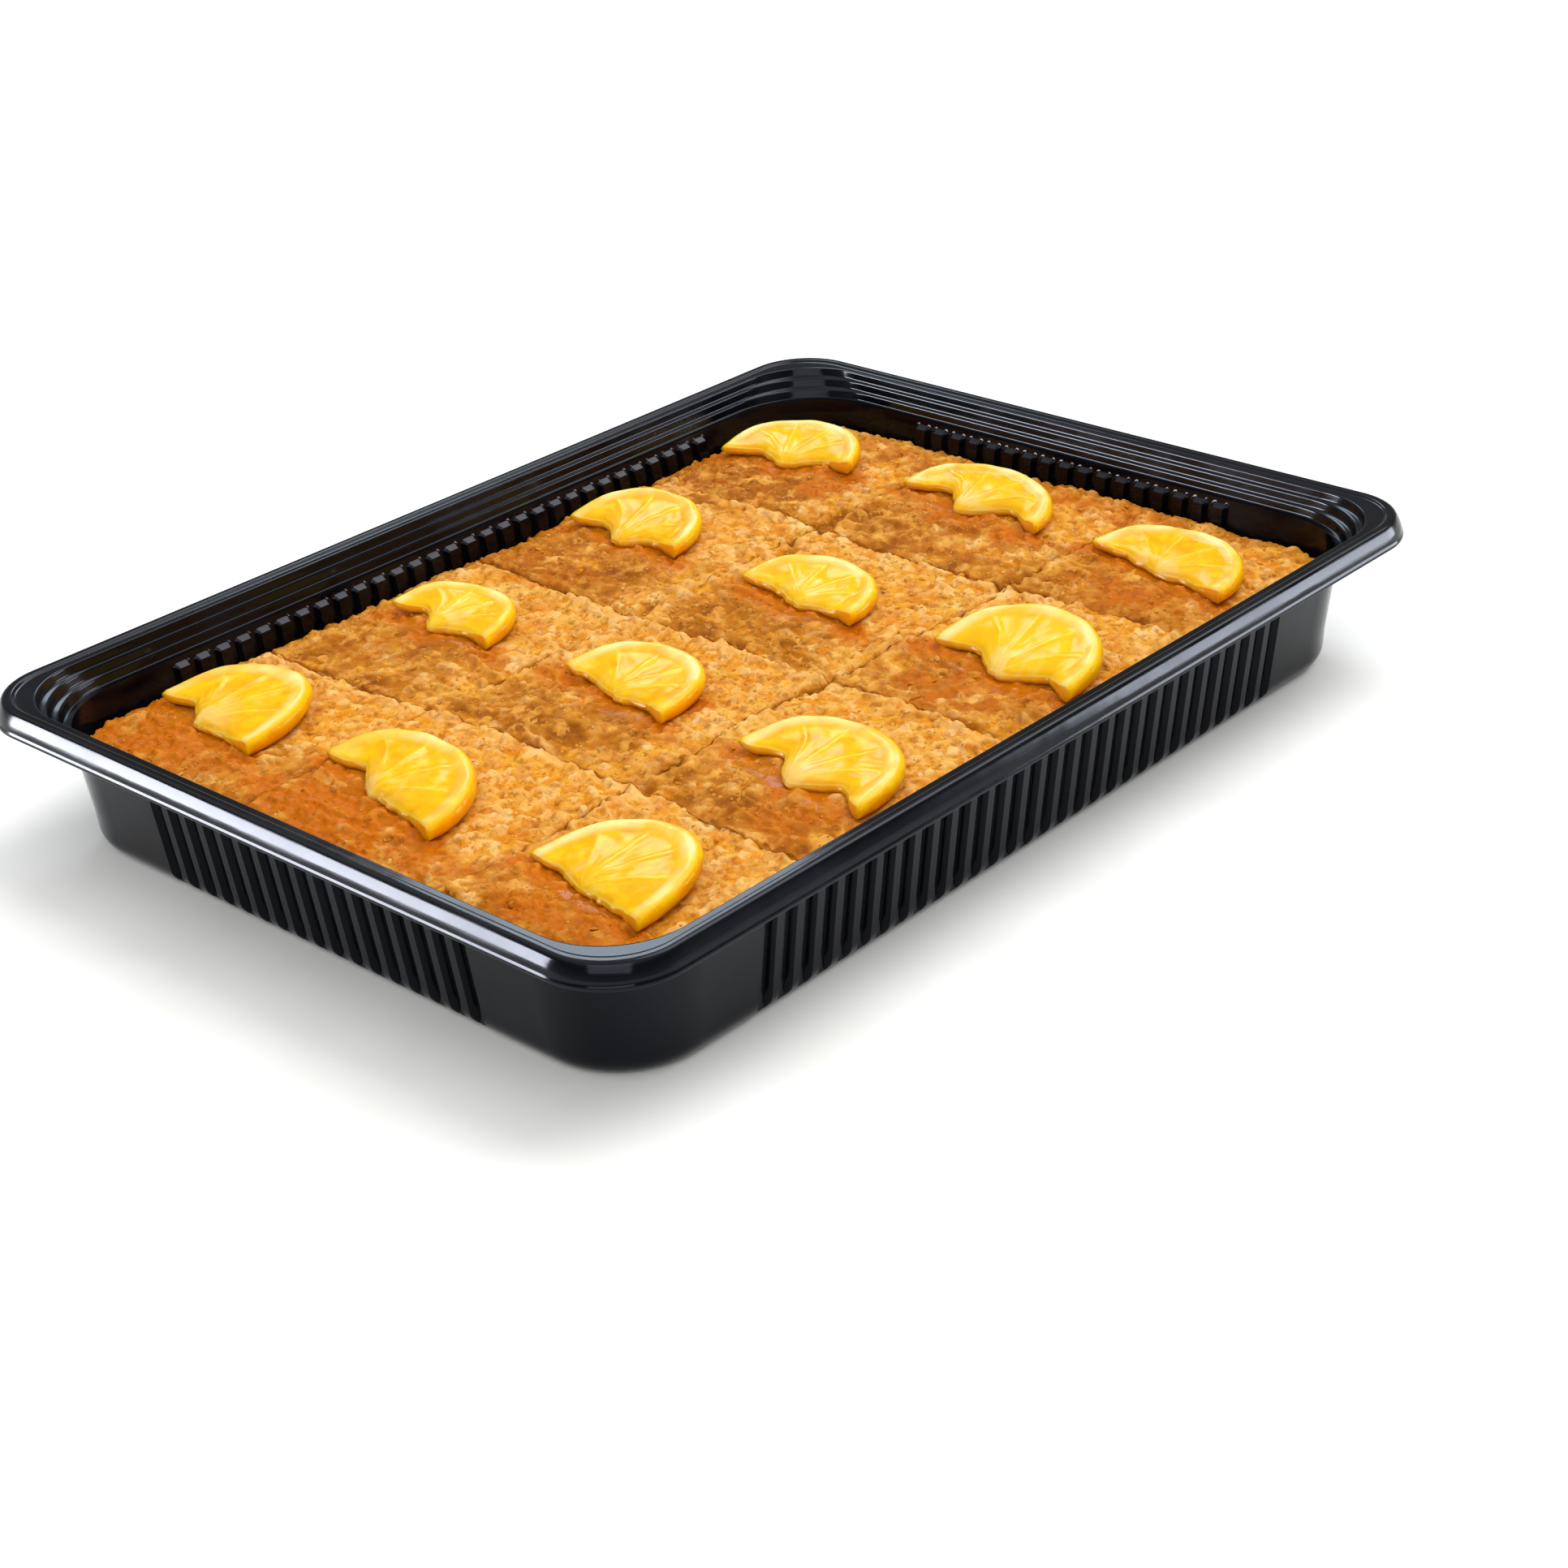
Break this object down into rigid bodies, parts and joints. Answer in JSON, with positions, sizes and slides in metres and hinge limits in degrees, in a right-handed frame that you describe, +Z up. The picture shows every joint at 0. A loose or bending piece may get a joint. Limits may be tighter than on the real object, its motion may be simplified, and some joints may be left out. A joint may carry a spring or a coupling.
{
  "type": "traybake",
  "caption": "Syrup-soaked citrus cake, cut into squares in a black fluted plastic tray, with a candied half slice lying on each square.",
  "frame": {"origin": "middle of the tray's flat underside, on the table", "axes": "+X along the tray's long side, +Y along its short side, +Z up"},
  "size_m": [0.325, 0.239, 0.043],
  "materials": {
    "black_plastic": "glossy thermoformed sheet",
    "cake_crumb": "moist baked crumb, granular",
    "candied_citrus": "wet syrup over translucent flesh"
  },
  "bodies": {
    "root": {"tray": "black_plastic", "square_1_1": "cake_crumb", "square_2_1": "cake_crumb", "square_3_1": "cake_crumb", "square_4_1": "cake_crumb", "square_1_2": "cake_crumb", "square_2_2": "cake_crumb", "square_3_2": "cake_crumb", "square_4_2": "cake_crumb", "square_1_3": "cake_crumb", "square_2_3": "cake_crumb", "square_3_3": "cake_crumb", "square_4_3": "cake_crumb", "citrus_1_1": "candied_citrus", "citrus_2_1": "candied_citrus", "citrus_3_1": "candied_citrus", "citrus_4_1": "candied_citrus", "citrus_1_2": "candied_citrus", "citrus_2_2": "candied_citrus", "citrus_3_2": "candied_citrus", "citrus_4_2": "candied_citrus", "citrus_1_3": "candied_citrus", "citrus_2_3": "candied_citrus", "citrus_3_3": "candied_citrus", "citrus_4_3": "candied_citrus"}
  },
  "joints": []
}
